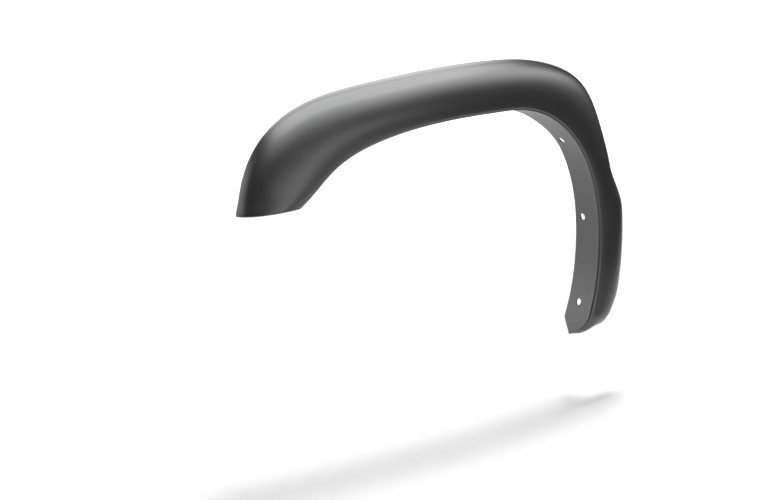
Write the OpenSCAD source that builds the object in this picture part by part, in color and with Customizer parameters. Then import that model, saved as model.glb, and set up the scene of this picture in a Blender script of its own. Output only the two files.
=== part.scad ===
// Wheel arch trim: one moulded channel swept round a wheel opening.
// Frame: X along the vehicle towards its rear, Y inboard, Z up.
// Origin: the centre of the fixing hole nearest the crown, half-way through the flange wall.

/* [Wheel opening] */
// Reach of the opening forward of the crown
opening_front = 629; // [615:1:640]
// Reach of the opening rearward of the crown
opening_rear = 308.3; // [300:0.1:320]
// Height of the crown of the lip above the widest point of the rear leg
opening_height = 384.4; // [375:0.1:395]
// Exponent of the flat forward curve of the lip
squareness_front = 2.66; // [2.6:0.01:2.75]
// Exponent of the rounder rearward curve of the lip
squareness_rear = 2.14; // [2.1:0.01:2.2]
// Share by which the lip is drawn in along the straight run down the front leg
lip_fill = 0.038; // [0.03:0.001:0.045]
// Guide angle of that straight run
lip_fill_at = 143.8; // [142:0.1:146]
// Spread of that straight run in guide angle
lip_fill_spread = 13.2; // [12:0.1:14]
// Guide angle where the front leg ends
front_end = 149.3; // [148:0.1:151]
// Guide angle where the rear leg ends
rear_end = -27; // [-29:0.5:-24]
// Radius of the bow of the whole trim seen from above
plan_radius = 4200; // [3800:50:6000]
// Place along X where the bow is tangent to the vehicle
plan_front = -402; // [-450:1:-350]

/* [Blade] */
// Width of the blade over the crown
blade_top = 114.2; // [108:0.1:122]
// Width of the blade on the rear leg
blade_rear = 77; // [72:0.5:82]
// Distance along the lip up to which the blade keeps its rear width
rear_width_to = 248; // [235:1:265]
// Distance past the crown where the blade starts to change towards the front
crown_run = 183; // [165:1:200]
// Width of the blade at the front end, before the shoulder adds to it
blade_front = 74.7; // [68:0.1:80]
// Extra width at the front shoulder
shoulder = 101.7; // [94:0.1:108]
// Distance along the lip from the rear end to the front shoulder
shoulder_at = 1207; // [1190:1:1225]
// Spread of the front shoulder along the lip
shoulder_spread = 147.7; // [140:0.1:160]
// Extra width at the rear shoulder
rear_shoulder = 20; // [12:0.1:26]
// Distance along the lip to the rear shoulder
rear_shoulder_at = 553; // [530:1:570]
// Spread of the rear shoulder along the lip
rear_shoulder_spread = 78; // [60:1:95]
// Swing of the section towards level at the front end
end_swing = 54.4; // [52:0.1:60]
// Distance along the lip where that swing starts
swing_from = 769; // [740:1:800]
// Distance past the front end where the front's changes would be complete
front_run = 40; // [30:5:50]
// Swing of the section at the foot of the rear leg
foot_swing = 12; // [8:1:15]
// Distance along the lip over which the foot swings
foot_swing_run = 130; // [115:5:145]
// Rise of the outboard side of the cut at the front end
front_rise = 8; // [4:1:12]
// Length along the lip over which that side rises
front_rise_run = 150; // [130:5:170]
// Extra width of the swell low on the rear leg
swell = 30.5; // [24:0.1:36]
// Distance along the lip where the swell begins
swell_top = 374; // [365:1:395]
// Distance along the lip where the swell is full
swell_full = 262; // [240:1:265]
// Distance along the lip over which the swell fades towards the foot
swell_foot = 84; // [74:1:94]
// Outward reach of the blade's curve near the lip
bulge_low = 6.8; // [5:0.2:8]
// Extra outward reach near the lip at the front shoulder
bulge_front = 8; // [4:1:12]
// Distance along the lip where the front bulge begins
bulge_from = 880; // [840:10:920]
// Distance along the lip where the front bulge is full
bulge_to = 1240; // [1200:10:1280]
// Outward reach of the blade's curve near the body edge
bulge_high = 2; // [1:0.2:3]
// Depth of the blade from its outermost line to the body edge
stand_off = 48; // [42:1:56]
// How far the skin tucks back between its outermost line and the lip
tuck = 5; // [3:0.5:7]

/* [Wall and flange] */
// Wall thickness of the moulding
wall = 3.2; // [2.8:0.1:3.6]
// Width of the slanted strip along the lip
lip_strip = 8; // [7:0.5:10]
// Height of the step between strip and flange
lip_step = 1.4; // [1:0.1:2]
// Depth of the flange from the lip inboard
flange_depth = 97; // [90:1:102]
// How much the flange narrows at the foot
foot_trim = 36; // [30:1:38]
// Length along the lip over which it narrows
foot_trim_run = 28; // [26:1:34]
// Draft of the flange towards the wheel on the rear leg, in degrees
draft = 3; // [2:0.5:5]
// Draft of the flange over the crown and the front leg, in degrees
draft_crown = 8; // [6:0.5:9]
// Distance along the lip where the draft starts to change
draft_from = 450; // [430:5:470]
// Distance along the lip where the draft has changed
draft_to = 590; // [570:5:610]
// Drop of the inboard side at the foot of the rear leg
foot_drop = 46; // [38:1:52]
// Drop of the lip itself at the foot of the rear leg
lip_drop = 12; // [6:1:18]
// Distance along the lip over which the foot drops
foot_drop_run = 108; // [100:2:116]
// Distance away from the lip over which the drop fades across the blade
foot_drop_fade = 60; // [50:2:70]
// Length along the lip of the rounded nose that closes the foot
nose_run = 34; // [28:1:40]
// How far inboard the nose carries the lip
nose_depth = 42; // [36:1:43]
// How far the nose hangs below the end of the lip
nose_sag = 14; // [8:1:18]
// Radius of the rolled front end
end_round = 7; // [5:0.5:9]
// Radius on the free edges
edge_round = 1.1; // [0.8:0.1:1.4]

/* [Fixing holes] */
// Diameter of a fixing hole
hole_d = 17; // [14:0.5:18]
// Number of fixing holes
hole_count = 6; // [5:1:6]
// Distance along the lip from the rear end to the first hole
hole_first = 54; // [50:1:58]
// Distance along the lip from the first hole to the second
hole_gap = 208; // [200:1:216]
// Distance along the lip between the other neighbouring holes
hole_pitch = 224; // [218:1:226]
// Distance of the hole centres from the inboard edge of the flange
hole_inset = 27; // [24:1:30]
// The same distance for the first hole, beside the narrowed foot
foot_inset = 38; // [34:1:40]

/* [Hidden] */
stations = 46;
skin_steps = 11;
datum_hole = 3;

function mix(a, b, k) = a + (b - a) * k;
function clamp01(k) = min(1, max(0, k));
function ease(a, b, x) = let (k = clamp01((x - a) / (b - a))) k * k * (3 - 2 * k);
function hump(x, at, spread) = exp(-pow((x - at) / spread, 2));
function bow(x) = pow(x - plan_front, 2) / (2 * plan_radius);

// Lip guide in the side view: two superellipse quadrants meeting at the crown,
// drawn in a little along the straight run down the front leg.
function power(x, n) = pow(abs(x), 2 / n);
function guide(t) =
    let (n = cos(t) > 0 ? squareness_rear : squareness_front)
    (1 - lip_fill * hump(t, lip_fill_at, lip_fill_spread))
    * [(cos(t) > 0 ? opening_rear : -opening_front) * power(cos(t), n),
       sign(sin(t)) * opening_height * power(sin(t), n)];

// Distance along the lip, summed over small chords from the rear end, and back to the guide angle.
// The chords close up on the crown, where the guide runs fastest.
chord_count = 240;
function chord_angle(i) =
    let (k = mix(rear_end, front_end, i / chord_count), d = k - 90)
    90 + sign(d) * pow(abs(d) / chord_reach(d), 1.5) * chord_reach(d);
function chord_reach(d) = d > 0 ? front_end - 90 : 90 - rear_end;
chord_angles = [for (i = [0 : chord_count]) chord_angle(i)];
chord_steps = [for (i = [1 : chord_count]) norm(guide(chord_angles[i]) - guide(chord_angles[i - 1]))];
chord_sums = [for (i = 0, s = 0; i <= chord_count; s = s + (i < chord_count ? chord_steps[i] : 0), i = i + 1) s];
angle_table = [for (i = [0 : chord_count]) [chord_sums[i], chord_angles[i]]];
function angle_at(s) = lookup(s, angle_table);
lip_length = chord_sums[chord_count];
crown_at = lookup(90, [for (i = [0 : chord_count]) [chord_angles[i], chord_sums[i]]]);

function along(s) =
    let (d = guide(angle_at(s) + 0.1) - guide(angle_at(s) - 0.1))
    d / norm(d);

// Heading of the blade in the side view: square to the lip, swung level at the front end.
function swing(s) = end_swing * ease(swing_from, lip_length + front_run, s) + foot_swing * ease(foot_swing_run, 0, s);
function heading(s) =
    let (q = along(s))
    atan2(-q[0], q[1]) + swing(s);

function blade(s) =
    blade_top + (blade_rear - blade_top) * ease(crown_at, rear_width_to, s)
    + (blade_front - blade_top) * ease(crown_at + crown_run, lip_length + front_run, s)
    + shoulder * hump(s, shoulder_at, shoulder_spread)
    + rear_shoulder * hump(s, rear_shoulder_at, rear_shoulder_spread)
    + swell * ease(swell_top, swell_full, s) * ease(-0.56 * swell_foot, swell_foot, s);

// Outer skin across the blade as a cubic from lip to body edge; k runs 0 to 1.
strip_u = lip_strip * sin(50);
strip_v = lip_strip * cos(50);
crease_v = tuck + strip_v;
function skin(s, k) =
    let (w = blade(s), low = bulge_low + bulge_front * ease(bulge_from, bulge_to, s),
         a = [strip_u, tuck], b = [0.42 * w, -low], c = [0.98 * w, -bulge_high], d = [w, stand_off])
    pow(1 - k, 3) * a + 3 * k * pow(1 - k, 2) * b + 3 * k * k * (1 - k) * c + pow(k, 3) * d;
function skin_side(s, k) =
    let (d = skin(s, k + 0.004) - skin(s, k - 0.004))
    [-d[1], d[0]] / norm(d);
function skin_in(s, k, inset, depth = 0) =
    let (p = skin(s, k) + skin_side(s, k) * (inset * (0.2 + 0.8 * ease(0, 0.3, k)) + depth))
    nosed(s - depth, k, p, depth);

// The foot closes in a rounded nose: over its last stretch the skin runs inboard to a rim.
function nose(s) = 1 - sqrt(1 - pow(1 - clamp01(s / nose_run), 2));
function lip_shift(s) = nose_depth * nose(s);
function rim_v(k) = mix(tuck + nose_depth, stand_off - wall - 2, min(1, k / 0.8));
function nosed(s, k, p, depth) =
    [p[0] + (flange_u(crease_v + lip_shift(s), s) - lip_step) * (1 - ease(0, 0.3, k)),
     mix(p[1], max(p[1], rim_v(k) + depth), nose(s))];

// Flange: its face towards the wheel, and its depth, which is rounded off at the foot.
function flange_u(v, s) =
    lip_step - (v - crease_v) * tan(draft + (draft_crown - draft) * ease(draft_from, draft_to, s));
function flange_edge(s) = flange_depth - foot_trim * (1 - clamp01(s / foot_trim_run));
function flange_point(k, away, s) =
    let (v = mix(crease_v + lip_shift(s), flange_edge(s), k))
    [flange_u(v, s) + away, v];
// The wall as the section cuts it, which is wider where the section is swung.
function cut_wall(s) = wall / cos(swing(s));

// Wall section, [away from the wheel, inboard], as one closed line at distance s along the lip;
// inset draws the skin in for the rolled ends.
function section(s, inset) =
    let (w = blade(s), e = flange_edge(s), r = edge_round, away = cut_wall(s),
         c = crease_v + lip_shift(s), f = flange_u(c, s) - lip_step)
    concat(
        [for (i = [0 : skin_steps]) skin_in(s, i / skin_steps * 0.985, inset)],
        [[w - inset - 0.3 * r, stand_off - 0.3 * r],
         [w - inset - r, stand_off],
         [w - inset - wall, stand_off]],
        [for (i = [skin_steps - 1 : -1 : 1]) skin_in(s, i / skin_steps * 0.985, inset, wall)],
        [[f + lip_step + away + 0.6, c + 1.4],
         flange_point(0.35, away, s),
         flange_point(0.7, away, s),
         [flange_u(e, s) + away, e - r],
         [flange_u(e, s) + away - 0.3 * r, e - 0.3 * r],
         [flange_u(e, s) + away - r, e],
         [flange_u(e, s) + r, e],
         [flange_u(e, s) + 0.3 * r, e - 0.3 * r],
         [flange_u(e, s), e - r],
         flange_point(0.7, 0, s),
         flange_point(0.35, 0, s),
         [f + lip_step, c + 1.6],
         [f + lip_step * 0.5, c + 0.6],
         [f, c + 0.1],
         [f + 0.1, c - 0.9],
         [f + mix(0.1, strip_u, 0.35), c - mix(0.9, strip_v - inset * 0.2, 0.38)],
         [f + mix(0.1, strip_u, 0.75), c - mix(0.9, strip_v - inset * 0.2, 0.78)]]);

// Shift along the lip: the flange runs down at the foot, the skin rises at the front cut.
function slip(s, p) =
    -pow(1 - clamp01(s / foot_drop_run), 2)
        * ((lip_drop + foot_drop * p[1] / flange_depth) * (1 - ease(0, foot_drop_fade, p[0]))
            + nose_sag * ease(0, foot_drop_fade / 2, p[0]) * (1 - ease(foot_drop_fade, 2 * foot_drop_fade, p[0])))
    - front_rise * max(0, 1 - p[1] / stand_off) * clamp01((s - lip_length + front_rise_run) / (front_rise_run + front_run / 2));

// Places a section point in space at distance s along the lip.
function place(s, p) =
    let (g = guide(angle_at(s)), h = heading(s), q = along(s), m = slip(s, p),
         x = g[0] + p[0] * cos(h) + q[0] * m,
         z = g[1] + p[0] * sin(h) + q[1] * m)
    [x, bow(x) + p[1], z];

function hole_at(i) = hole_first + (i == 0 ? 0 : hole_gap + (i - 1) * hole_pitch);
function hole_v(i) = flange_depth - (i == 0 ? foot_inset : hole_inset);
function mid_wall(s, v) = place(s, [flange_u(v, s) + cut_wall(s) / 2, v]);
datum = mid_wall(hole_at(datum_hole), hole_v(datum_hole));
function set(s, p) = place(s, p) - datum;

module loft(rings) {
    n = len(rings);
    m = len(rings[0]);
    polyhedron(
        points = [for (r = rings) for (p = r) p],
        faces = concat(
            [[for (j = [0 : m - 1]) j]],
            [for (i = [0 : n - 2]) for (j = [0 : m - 1]) each [
                [i * m + j, (i + 1) * m + j, (i + 1) * m + (j + 1) % m],
                [i * m + j, (i + 1) * m + (j + 1) % m, i * m + (j + 1) % m]]],
            [[for (j = [m - 1 : -1 : 0]) (n - 1) * m + j]]),
        convexity = 12);
}

// Distance from the end, and how far the skin is drawn in there, as shares of the end radius.
roll = [[0, 1], [0.12, 0.52], [0.4, 0.2], [0.7, 0.05], [1, 0]];
function drawn_in(s) = end_round * lookup((lip_length - s) / end_round, roll);

roll_steps = [for (r = roll) r[0] * end_round];
nose_steps = [for (i = [0 : 9]) nose_run * (1 - cos(10 * i))];
sweep_steps = concat(
    nose_steps,
    [for (i = [1 : stations - 1]) mix(nose_run, lip_length - end_round, i / stations)],
    [for (i = [len(roll) - 1 : -1 : 0]) lip_length - roll_steps[i]]);

module wall_sweep() {
    loft([for (s = sweep_steps) [for (p = section(s, drawn_in(s))) set(s, p)]]);
}

// A hole's axis is square to the flange where the hole is.
module fixing_hole(i) {
    s = hole_at(i);
    v = hole_v(i);
    n = cross(mid_wall(s + hole_d / 2, v) - mid_wall(s - hole_d / 2, v),
              mid_wall(s, v + hole_d / 2) - mid_wall(s, v - hole_d / 2));
    translate(mid_wall(s, v) - datum)
        rotate([0, acos(n[2] / norm(n)), atan2(n[1], n[0])])
            cylinder(d = hole_d, h = 8 * wall, center = true, $fn = 48);
}

module arch_trim() {
    color("#2b2b2c")
        difference() {
            wall_sweep();
            for (i = [0 : hole_count - 1])
                fixing_hole(i);
        }
}

arch_trim();
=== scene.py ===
"""Wheel arch trim: a moulded blade swept round a wheel opening, shown as one finely grained black piece."""

import math

import bpy
import numpy as np
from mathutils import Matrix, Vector


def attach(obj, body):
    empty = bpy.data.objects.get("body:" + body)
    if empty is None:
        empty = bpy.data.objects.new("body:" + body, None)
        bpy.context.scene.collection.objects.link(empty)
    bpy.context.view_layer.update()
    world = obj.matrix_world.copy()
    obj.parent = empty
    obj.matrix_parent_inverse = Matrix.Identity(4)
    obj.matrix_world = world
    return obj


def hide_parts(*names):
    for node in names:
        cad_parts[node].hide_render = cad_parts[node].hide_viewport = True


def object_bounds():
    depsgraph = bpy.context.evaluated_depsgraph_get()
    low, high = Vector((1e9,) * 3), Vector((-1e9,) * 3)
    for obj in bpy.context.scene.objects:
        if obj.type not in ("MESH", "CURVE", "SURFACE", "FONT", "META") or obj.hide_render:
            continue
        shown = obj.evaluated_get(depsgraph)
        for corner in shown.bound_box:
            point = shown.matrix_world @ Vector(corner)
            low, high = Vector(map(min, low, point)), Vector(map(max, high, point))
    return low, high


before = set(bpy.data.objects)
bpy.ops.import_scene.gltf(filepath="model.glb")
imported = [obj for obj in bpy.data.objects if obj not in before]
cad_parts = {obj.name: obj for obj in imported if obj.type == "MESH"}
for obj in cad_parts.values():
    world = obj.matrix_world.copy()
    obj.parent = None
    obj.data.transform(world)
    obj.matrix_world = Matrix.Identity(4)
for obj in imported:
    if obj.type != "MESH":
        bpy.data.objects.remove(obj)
cad_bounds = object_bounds()

# Sizes in millimetres and degrees, as in the part's source.
OPENING_FRONT = 629.0
OPENING_REAR = 308.3
OPENING_HEIGHT = 384.4
SQUARENESS_FRONT = 2.66
SQUARENESS_REAR = 2.14
LIP_FILL = 0.038
LIP_FILL_AT = 143.8
LIP_FILL_SPREAD = 13.2
FRONT_END = 149.3
REAR_END = -27.0
PLAN_RADIUS = 4200.0
PLAN_FRONT = -402.0
BLADE_TOP = 114.2
BLADE_REAR = 77.0
REAR_WIDTH_TO = 248.0
CROWN_RUN = 183.0
BLADE_FRONT = 74.7
SHOULDER = 101.7
SHOULDER_AT = 1207.0
SHOULDER_SPREAD = 147.7
REAR_SHOULDER = 20.0
REAR_SHOULDER_AT = 553.0
REAR_SHOULDER_SPREAD = 78.0
END_SWING = 54.4
SWING_FROM = 769.0
FRONT_RUN = 40.0
FOOT_SWING = 12.0
FOOT_SWING_RUN = 130.0
FRONT_RISE = 8.0
FRONT_RISE_RUN = 150.0
SWELL = 30.5
SWELL_TOP = 374.0
SWELL_FULL = 262.0
SWELL_FOOT = 84.0
BULGE_LOW = 6.8
BULGE_FRONT = 8.0
BULGE_FROM = 880.0
BULGE_TO = 1240.0
BULGE_HIGH = 2.0
STAND_OFF = 48.0
TUCK = 5.0
WALL = 3.2
LIP_STRIP = 8.0
LIP_STEP = 1.4
FLANGE_DEPTH = 97.0
FOOT_TRIM = 36.0
FOOT_TRIM_RUN = 28.0
DRAFT = 3.0
DRAFT_CROWN = 8.0
DRAFT_FROM = 450.0
DRAFT_TO = 590.0
FOOT_DROP = 46.0
LIP_DROP = 12.0
FOOT_DROP_RUN = 108.0
FOOT_DROP_FADE = 60.0
NOSE_RUN = 34.0
NOSE_DEPTH = 42.0
NOSE_SAG = 14.0
END_ROUND = 7.0
EDGE_ROUND = 1.1
HOLE_D = 17.0
HOLE_COUNT = 6
HOLE_FIRST = 54.0
HOLE_GAP = 208.0
HOLE_PITCH = 224.0
HOLE_INSET = 27.0
FOOT_INSET = 38.0
SWELL_TAIL = 0.56
STRIP_ANGLE = math.radians(50)

# Only in the scene: the shoulder along the lip, and the rounding of the outer edge over the crown.
LINE_DEPTH = 2.2
CROWN_EASE = 2.5
CROWN_EASE_AT = -27.0
CROWN_EASE_SPREAD = 56.0

# How closely the wall is drawn: stations along the lip, points across the skin, sides of a hole.
NOSE_STATIONS = 27
LIP_STATIONS = 320
SKIN_POINTS = 46
HOLE_SIDES = 64

# Shares of the blade's width: where its rounded edge starts, the strip's draft has faded, the nose's rim is full.
EDGE_FROM = 0.985
STRIP_FADE = 0.3
RIM_FULL = 0.8

STRIP_U = LIP_STRIP * math.sin(STRIP_ANGLE)
CREASE_V = TUCK + LIP_STRIP * math.cos(STRIP_ANGLE)


def ease(a, b, x):
    """0 up to a and 1 from b on; between them 3 k squared less 2 k cubed, k being the share of the way."""
    k = np.clip((np.asarray(x, float) - a) / (b - a), 0, 1)
    return k * k * (3 - 2 * k)


def hump(x, at, spread):
    """A bell of height 1 at its middle, e to the minus square of the distance over its spread."""
    return np.exp(-(((x - at) / spread) ** 2))


def guide(t):
    """The lip in the side view: two superellipse quadrants, drawn in down the front leg."""
    co, si = np.cos(np.radians(t)), np.sin(np.radians(t))
    n = np.where(co > 0, SQUARENESS_REAR, SQUARENESS_FRONT)
    x = np.where(co > 0, OPENING_REAR, -OPENING_FRONT) * np.abs(co) ** (2 / n)
    z = np.sign(si) * OPENING_HEIGHT * np.abs(si) ** (2 / n)
    return np.stack([x, z], -1) * (1 - LIP_FILL * hump(t, LIP_FILL_AT, LIP_FILL_SPREAD))[..., None]


# Guide angles from the rear end to the front end, closer together over the crown, with the distance along the lip.
STEPS = REAR_END + (FRONT_END - REAR_END) * np.arange(241) / 240 - 90
REACH = np.where(STEPS > 0, FRONT_END - 90, 90 - REAR_END)
ANGLES = 90 + np.sign(STEPS) * (np.abs(STEPS) / REACH) ** 1.5 * REACH
SUMS = np.concatenate([[0], np.cumsum(np.linalg.norm(np.diff(guide(ANGLES), axis=0), axis=1))])
LIP_LENGTH = SUMS[-1]
CROWN_AT = np.interp(90, ANGLES, SUMS)


def angle_at(s):
    """Guide angle at distance s along the lip."""
    return np.interp(s, SUMS, ANGLES)


def along(s):
    """Unit direction of the lip at distance s, towards the front end."""
    t = angle_at(s)
    d = guide(t + 0.1) - guide(t - 0.1)
    return d / np.linalg.norm(d, axis=-1, keepdims=True)


def swing(s):
    """Degrees by which the section is swung: more and more towards the front end, and a little at the foot."""
    return END_SWING * ease(SWING_FROM, LIP_LENGTH + FRONT_RUN, s) + FOOT_SWING * ease(FOOT_SWING_RUN, 0, s)


def heading(s):
    """Degrees in the side view at which the blade stands off: square to the lip, plus the swing."""
    q = along(s)
    return np.degrees(np.arctan2(-q[..., 0], q[..., 1])) + swing(s)


def blade(s):
    """Width of the blade at distance s along the lip; the last term rounds the outer edge over the crown."""
    return (
        BLADE_TOP
        + (BLADE_REAR - BLADE_TOP) * ease(CROWN_AT, REAR_WIDTH_TO, s)
        + (BLADE_FRONT - BLADE_TOP) * ease(CROWN_AT + CROWN_RUN, LIP_LENGTH + FRONT_RUN, s)
        + SHOULDER * hump(s, SHOULDER_AT, SHOULDER_SPREAD)
        + REAR_SHOULDER * hump(s, REAR_SHOULDER_AT, REAR_SHOULDER_SPREAD)
        + SWELL * ease(SWELL_TOP, SWELL_FULL, s) * ease(-SWELL_TAIL * SWELL_FOOT, SWELL_FOOT, s)
        - CROWN_EASE * hump(s, CROWN_AT + CROWN_EASE_AT, CROWN_EASE_SPREAD)
    )


def place(s, u, v):
    """Points at distance s along the lip, u away from the wheel and v inboard."""
    g, h, q = guide(angle_at(s)), np.radians(heading(s)), along(s)
    fade = FOOT_DROP_FADE
    drop = (LIP_DROP + FOOT_DROP * v / FLANGE_DEPTH) * (1 - ease(0, fade, u))
    sag = NOSE_SAG * ease(0, fade / 2, u) * (1 - ease(fade, 2 * fade, u))
    m = -(drop + sag) * (1 - np.clip(s / FOOT_DROP_RUN, 0, 1)) ** 2
    rise = np.clip((s - LIP_LENGTH + FRONT_RISE_RUN) / (FRONT_RISE_RUN + FRONT_RUN / 2), 0, 1)
    m = m - FRONT_RISE * np.maximum(0, 1 - v / STAND_OFF) * rise
    x = g[..., 0] + u * np.cos(h) + q[..., 0] * m
    z = g[..., 1] + u * np.sin(h) + q[..., 1] * m
    return np.stack([x, (x - PLAN_FRONT) ** 2 / (2 * PLAN_RADIUS) + v, z], -1)


def flange_u(v, s):
    """Place of the flange's wheel side at depth v: it leans by the draft from the step at the strip."""
    draft = DRAFT + (DRAFT_CROWN - DRAFT) * ease(DRAFT_FROM, DRAFT_TO, s)
    return LIP_STEP - (v - CREASE_V) * np.tan(np.radians(draft))


def flange_edge(s):
    """Depth of the flange, whose corner is cut off straight at the foot."""
    return FLANGE_DEPTH - FOOT_TRIM * (1 - np.clip(s / FOOT_TRIM_RUN, 0, 1))


def cut_wall(s):
    """The flange's wall as the section cuts it, wider where the section is swung."""
    return WALL / np.cos(np.radians(swing(s)))


def mid_wall(s, v):
    """A point half-way through the flange's wall."""
    return place(s, flange_u(v, s) + cut_wall(s) / 2, v)


def hole(i):
    """Centre and axis of fixing hole i, the axis being square to the flange there."""
    s = HOLE_FIRST + (0 if i == 0 else HOLE_GAP + (i - 1) * HOLE_PITCH)
    v = FLANGE_DEPTH - (FOOT_INSET if i == 0 else HOLE_INSET)
    r = HOLE_D / 2
    n = np.cross(mid_wall(s + r, v) - mid_wall(s - r, v), mid_wall(s, v + r) - mid_wall(s, v - r))
    return mid_wall(s, v), n / np.linalg.norm(n)


DATUM = hole(3)[0]


def skin(s, k):
    """The outer skin across the blade, a cubic from the lip (k = 0) to the body edge (k = 1)."""
    w = blade(s)
    low = BULGE_LOW + BULGE_FRONT * ease(BULGE_FROM, BULGE_TO, s)
    p = (
        (STRIP_U + 0 * w, TUCK + 0 * w),
        (0.42 * w, -low + 0 * w),
        (0.98 * w, -BULGE_HIGH + 0 * w),
        (w, STAND_OFF + 0 * w),
    )
    b = ((1 - k) ** 3, 3 * k * (1 - k) ** 2, 3 * k * k * (1 - k), k**3)
    return sum(c * q[0] for c, q in zip(b, p)), sum(c * q[1] for c, q in zip(b, p))


def nose(s):
    """How far the foot's rounded nose has closed, a quarter circle from 0 to 1 at the end."""
    return 1 - np.sqrt(1 - (1 - np.clip(s / NOSE_RUN, 0, 1)) ** 2)


def lip_shift(s):
    """How far inboard the lip moves as the nose closes."""
    return NOSE_DEPTH * nose(s)


def skin_in(s, k, inset, depth=0.0):
    """The skin drawn in by inset at the rolled end and by depth for its hidden side, then run inboard at the nose."""
    push = inset * (0.2 + 0.8 * ease(0, STRIP_FADE, k)) + depth
    a, b = skin(s, k + 0.004), skin(s, k - 0.004)
    du, dv = a[0] - b[0], a[1] - b[1]
    n = np.hypot(du, dv)
    u, v = skin(s, k)
    u, v = u - dv / n * push, v + du / n * push
    s = s - depth
    at_lip, at_edge = TUCK + NOSE_DEPTH, STAND_OFF - WALL - 2
    rim = at_lip + (at_edge - at_lip) * np.minimum(1, k / RIM_FULL) + depth
    u = u + (flange_u(CREASE_V + lip_shift(s), s) - LIP_STEP) * (1 - ease(0, STRIP_FADE, k))
    return u, v + (np.maximum(v, rim) - v) * nose(s)


def drawn_in(s):
    """How far the outline is drawn in by the roll at the front end, all of END_ROUND at the very end."""
    k = (LIP_LENGTH - s) / END_ROUND
    return END_ROUND * np.interp(k, [0, 0.12, 0.4, 0.7, 1], [1, 0.52, 0.2, 0.05, 0])


def section(s):
    """The wall's closed outline at each distance in s: arrays (stations, points) of u and v.

    It runs out along the skin, round the body edge, back along the hidden side, down the flange and up its wheel
    side. Between the flange and the lip's slanted strip a small shoulder faces outboard: the dark line at the lip.
    """
    s = s[:, None]
    w, e, r, inset, away = blade(s), flange_edge(s), EDGE_ROUND, drawn_in(s), cut_wall(s)
    c = CREASE_V + lip_shift(s)
    f = flange_u(c, s) - LIP_STEP
    k = np.linspace(0, EDGE_FROM, SKIN_POINTS)[None, :]
    ou, ov = skin_in(s, k, inset)
    back = k[:, :3:-1]
    iu, iv = skin_in(s, back, inset, WALL)
    turn = np.radians(np.linspace(12, 78, 4))[None, :]
    tip_u = w - inset - r + r * np.cos(turn)
    tip_v = STAND_OFF - r + r * np.sin(turn) + 0 * s
    corner_u = f + LIP_STEP + away + 0.6
    corner_v = c + 1.4
    fv = c + 2.2 + (e - c - 3.6) * np.linspace(0, 1, 10)[None, :]
    fu = flange_u(fv, s)
    end_u = flange_u(e, s)
    cap_u = np.concatenate([end_u + away - r + r * np.cos(turn), end_u + r - r * np.cos(turn[:, ::-1])], 1)
    cap_v = np.concatenate([e - r + r * np.sin(turn), e - r + r * np.sin(turn[:, ::-1])], 1)
    step_u = f + np.array([[1.25, 0.7, 0.2, 0, 0.05, 0.3, LINE_DEPTH - 0.2, LINE_DEPTH]])
    step_v = c + np.array([[1.8, 1.1, 0.3, -0.4, -0.75, -0.95, -1.1, -1.3]])
    g = np.linspace(0.15, 0.92, 6)[None, :]
    strip_u = f + LINE_DEPTH + (STRIP_U - LINE_DEPTH) * g - 0.3 * np.sin(np.pi * g)
    strip_v = c - 1.3 + (TUCK + inset * 0.2 - CREASE_V + 1.3) * g - 0.3 * np.sin(np.pi * g)
    u = np.concatenate([ou, tip_u, w - inset - WALL, iu, corner_u, fu + away, cap_u, fu[:, ::-1], step_u, strip_u], 1)
    v = np.concatenate([ov, tip_v, STAND_OFF + 0 * w, iv, corner_v, fv, cap_v, fv[:, ::-1], step_v, strip_v], 1)
    return u, v


def mesh_from(name, points, faces):
    """A new mesh object in the scene."""
    m = bpy.data.meshes.new(name)
    m.from_pydata(points.tolist(), [], faces)
    m.update()
    o = bpy.data.objects.new(name, m)
    bpy.context.scene.collection.objects.link(o)
    return o


def swept_wall():
    """The whole moulding: the wall's outline at close stations along the lip, capped at both ends.

    The stations lie closer at the nose and at the rolled end. The points are held in the solid's box.
    """
    rolls = END_ROUND * np.array([0, 0.05, 0.12, 0.25, 0.4, 0.55, 0.7, 0.85])
    curl = NOSE_RUN * (1 - np.cos(np.linspace(0, np.pi / 2, NOSE_STATIONS + 1)))[:-1]
    middle = np.linspace(NOSE_RUN, LIP_LENGTH - END_ROUND, LIP_STATIONS)
    s = np.concatenate([curl, middle, LIP_LENGTH - rolls[::-1]])
    u, v = section(s)
    p = (place(s[:, None], u, v) - DATUM) / 1000
    p = np.clip(p, np.array(cad_bounds[0]), np.array(cad_bounds[1]))
    n, m = u.shape
    i, j = np.meshgrid(np.arange(n - 1), np.arange(m), indexing="ij")
    k = (j + 1) % m
    quads = np.stack([i * m + j, (i + 1) * m + j, (i + 1) * m + k, i * m + k], -1).reshape(-1, 4)
    faces = quads.tolist() + [list(range(m)), list(range(n * m - 1, (n - 1) * m - 1, -1))]
    return mesh_from("trim", p.reshape(-1, 3), faces)


def cylinder(i):
    """A cutter for fixing hole i, with its axis square to the flange and 12 mm to each side of its wall."""
    n = HOLE_SIDES
    at, out = hole(i)
    side = np.cross(out, [0, 1, 0])
    side = side / np.linalg.norm(side)
    other = np.cross(out, side)
    a = np.linspace(0, 2 * np.pi, n, endpoint=False)
    ring = HOLE_D / 2 * (np.outer(np.cos(a), side) + np.outer(np.sin(a), other))
    p = np.concatenate([at - DATUM + ring - 12 * out, at - DATUM + ring + 12 * out]) / 1000
    faces = [[j, (j + 1) % n, n + (j + 1) % n, n + j] for j in range(n)]
    faces += [list(range(n - 1, -1, -1)), list(range(n, 2 * n))]
    return mesh_from(f"cutter_{i}", p, faces)


def apply_modifiers(obj):
    """Give the object the mesh that its modifiers make."""
    deps = bpy.context.evaluated_depsgraph_get()
    done = bpy.data.meshes.new_from_object(obj.evaluated_get(deps))
    obj.modifiers.clear()
    obj.data = done


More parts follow.
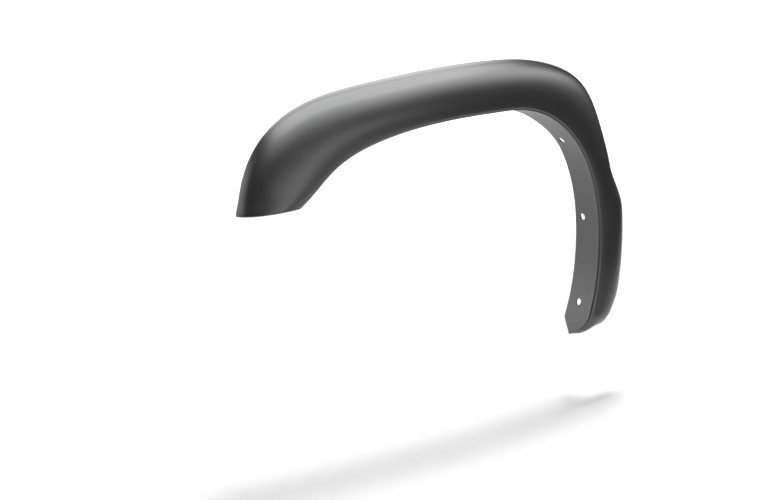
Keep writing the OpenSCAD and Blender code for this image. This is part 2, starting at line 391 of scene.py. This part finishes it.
def moulded_plastic():
    """Black moulded plastic: fine grain in the bump, broad uneven patches of tone and gloss."""
    m = bpy.data.materials.new("moulded_black")
    m.use_nodes = True
    nt = m.node_tree
    bsdf = nt.nodes["Principled BSDF"]
    link = nt.links.new

    def node(kind, **values):
        n = nt.nodes.new(kind)
        for key, value in values.items():
            n.inputs[key].default_value = value
        return n

    where = nt.nodes.new("ShaderNodeTexCoord").outputs["Object"]
    grain = node("ShaderNodeTexNoise", Scale=1500.0, Detail=3.0, Roughness=0.6)
    pebble = node("ShaderNodeTexVoronoi", Scale=900.0)
    broad = node("ShaderNodeTexNoise", Scale=7.0, Detail=4.0, Roughness=0.55)
    for n in (grain, pebble, broad):
        link(where, n.inputs["Vector"])
    tint = nt.nodes.new("ShaderNodeValToRGB")
    tint.color_ramp.elements[0].color = (0.004, 0.004, 0.0042, 1)
    tint.color_ramp.elements[1].color = (0.007, 0.007, 0.0073, 1)
    link(broad.outputs["Fac"], tint.inputs["Fac"])
    link(tint.outputs["Color"], bsdf.inputs["Base Color"])
    bsdf.inputs["Specular IOR Level"].default_value = 1.0
    rough = nt.nodes.new("ShaderNodeMapRange")
    rough.inputs["To Min"].default_value = 0.31
    rough.inputs["To Max"].default_value = 0.38
    link(broad.outputs["Fac"], rough.inputs["Value"])
    link(rough.outputs["Result"], bsdf.inputs["Roughness"])
    both = nt.nodes.new("ShaderNodeMath")
    both.operation = "ADD"
    link(grain.outputs["Fac"], both.inputs[0])
    link(pebble.outputs["Distance"], both.inputs[1])
    bump = node("ShaderNodeBump", Strength=0.35, Distance=0.00012)
    link(both.outputs["Value"], bump.inputs["Height"])
    link(bump.outputs["Normal"], bsdf.inputs["Normal"])
    return m


trim = swept_wall()
for i in range(HOLE_COUNT):
    cutter = cylinder(i)
    cut = trim.modifiers.new("hole", "BOOLEAN")
    cut.operation = "DIFFERENCE"
    cut.solver = "EXACT"
    cut.object = cutter
    apply_modifiers(trim)
    bpy.data.objects.remove(cutter)
trim.data.polygons.foreach_set("use_smooth", np.ones(len(trim.data.polygons), bool))
trim.data.set_sharp_from_angle(angle=math.radians(38))
trim.data.materials.clear()
trim.data.materials.append(moulded_plastic())
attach(trim, "root")
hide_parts("arch_trim")


def matt(name):
    """A material without gloss, and its shader."""
    m = bpy.data.materials.new(name)
    m.use_nodes = True
    bsdf = m.node_tree.nodes["Principled BSDF"]
    bsdf.inputs["Roughness"].default_value = 0.9
    bsdf.inputs["Specular IOR Level"].default_value = 0.0
    return m, bsdf


def pale_floor():
    """Matt pale floor, of a lighter grey farther out, where fewer lamps reach: it looks evenly white."""
    m, bsdf = matt("pale_floor")
    nt = m.node_tree
    spot = nt.nodes.new("ShaderNodeTexCoord")
    reach = nt.nodes.new("ShaderNodeVectorMath")
    reach.operation = "LENGTH"
    nt.links.new(spot.outputs["Object"], reach.inputs[0])
    far = nt.nodes.new("ShaderNodeMapRange")
    far.interpolation_type = "SMOOTHSTEP"
    far.inputs["From Min"].default_value = 1.4
    far.inputs["From Max"].default_value = 5.0
    nt.links.new(reach.outputs["Value"], far.inputs["Value"])
    tone = nt.nodes.new("ShaderNodeValToRGB")
    tone.color_ramp.elements[0].color = (0.21, 0.21, 0.21, 1)
    tone.color_ramp.elements[1].color = (0.85, 0.85, 0.85, 1)
    nt.links.new(far.outputs["Result"], tone.inputs["Fac"])
    nt.links.new(tone.outputs["Color"], bsdf.inputs["Base Color"])
    return m


def level_sheet(name, corners, z):
    """A flat four-sided sheet at height z."""
    return mesh_from(name, np.array([[x, y, z] for x, y in corners], float), [[0, 1, 2, 3]])


# Metres: the floor's height and half its width, and how far a card reaches outwards and to each side.
FLOOR_Z = -0.776
FLOOR_REACH = 30
CARD_OUT = 12
CARD_SIDE = 15

floor_corners = [(i * FLOOR_REACH, j * FLOOR_REACH) for i, j in ((-1, -1), (1, -1), (1, 1), (-1, 1))]
floor = level_sheet("floor", floor_corners, FLOOR_Z)
floor.data.materials.append(pale_floor())


def dark_reflection_card(name, way, edge, lift):
    """A black card that lies on the floor beyond a straight edge, square to way, which only the trim's gloss sees: it
    paints dark reflections into the trim, where the camera sees the pale floor.
    """
    out, side = np.array(way), CARD_SIDE * np.array([-way[1], way[0]])
    near, far = out * edge, out * -CARD_OUT
    card = level_sheet(name, [near - side, near + side, far + side, far - side], FLOOR_Z + lift)
    m, bsdf = matt(name)
    bsdf.inputs["Base Color"].default_value = (0.012, 0.012, 0.012, 1)
    card.data.materials.append(m)
    card.visible_camera = False
    card.visible_diffuse = False
    card.visible_shadow = False


# Two cards that paint dark reflections into the trim's gloss, in front of it and at its right.
dark_reflection_card("front_dark_reflection_card", (0.5, 0.866), -0.85, 0.002)
dark_reflection_card("right_dark_reflection_card", (-0.682, 0.731), -0.95, 0.004)


def softbox(name, at, to, size, radiance, mirrored=True):
    """A rectangular soft lamp of the given radiance, hidden from the camera; the trim mirrors it or doesn't."""
    lamp = bpy.data.lights.new(name, "AREA")
    lamp.shape = "RECTANGLE"
    lamp.size, lamp.size_y = size
    lamp.energy = radiance * math.pi * size[0] * size[1]
    o = bpy.data.objects.new(name, lamp)
    o.location = at
    o.rotation_euler = (Vector(to) - Vector(at)).to_track_quat("-Z", "Y").to_euler()
    o.visible_camera = False
    o.visible_glossy = mirrored
    bpy.context.scene.collection.objects.link(o)


softbox("overhead", (-0.2, -0.6, 1.9), (-0.2, -0.6, 0), (3.6, 2.6), 5.3)
softbox("overhead_back", (0.0, 1.9, 1.9), (-0.1, 0.2, 0), (3.6, 1.6), 4.4)
softbox("low_card", (-0.15, -2.15, -0.62), (-0.55, 0, -0.1), (2.2, 0.34), 4.0)
softbox("shadow_maker", (0.4, 0.2, 2.6), (-0.3, 0.0, 0), (0.6, 0.6), 230.0, mirrored=False)
softbox("floor_wash", (0, 6, 7), (0, 6, 0), (26, 26), 1.4, mirrored=False)


def studio_air():
    """Light from all round: bright behind the trim, high in front of it and at the right front, dark elsewhere.

    The camera itself sees a plain white backdrop.
    """
    w = bpy.data.worlds.new("studio")
    w.use_nodes = True
    nt = w.node_tree
    way = nt.nodes.new("ShaderNodeTexCoord")
    split = nt.nodes.new("ShaderNodeSeparateXYZ")
    nt.links.new(way.outputs["Generated"], split.inputs["Vector"])

    def calc(operation, a, b):
        n = nt.nodes.new("ShaderNodeMath")
        n.operation = operation
        for socket, value in zip(n.inputs, (a, b)):
            if isinstance(value, float):
                socket.default_value = value
            else:
                nt.links.new(value, socket)
        return n.outputs["Value"]

    total = 0.0
    for level, limits in (
        (2.15, (("X", 0.6, 0.0), ("Y", -0.2, 0.2), ("Z", 0.4, 0.2))),
        (2.4, (("X", -0.9, -0.2), ("Y", 0.2, -0.2), ("Z", 0.2, 0.5), ("Z", 0.9, 0.6))),
        (1.8, (("X", 0.1, 0.5), ("Y", 0.2, -0.2), ("Z", 0.0, 0.3), ("Z", 0.7, 0.4))),
    ):
        share = level
        for axis, start, stop in limits:
            step = nt.nodes.new("ShaderNodeMapRange")
            step.interpolation_type = "SMOOTHSTEP"
            step.inputs["From Min"].default_value = start
            step.inputs["From Max"].default_value = stop
            nt.links.new(split.outputs[axis], step.inputs["Value"])
            share = calc("MULTIPLY", share, step.outputs["Result"])
        total = calc("ADD", total, share)
    nt.nodes["Background"].inputs["Color"].default_value = (1, 1, 1, 1)
    seen = nt.nodes.new("ShaderNodeLightPath").outputs["Is Camera Ray"]
    nt.links.new(calc("MAXIMUM", total, seen), nt.nodes["Background"].inputs["Strength"])
    return w


bpy.context.scene.world = studio_air()
bpy.context.scene.view_settings.view_transform = "Standard"

HEADING = math.radians(30)
DOWN = math.radians(16)
LENS = 71.05
DISTANCE = 3.2857
LOOK = np.array([math.sin(HEADING) * math.cos(DOWN), math.cos(HEADING) * math.cos(DOWN), -math.sin(DOWN)])
AIM = (np.array([-352.0, 0.0, 114.0]) - DATUM) / 1000
camera = bpy.data.cameras.new("camera")
camera.sensor_width = 36
camera.lens = LENS
camera.clip_end = 200
eye = bpy.data.objects.new("camera", camera)
eye.location = AIM - LOOK * DISTANCE
eye.rotation_euler = (math.pi / 2 - DOWN, 0, -HEADING)
bpy.context.scene.collection.objects.link(eye)
bpy.context.scene.camera = eye
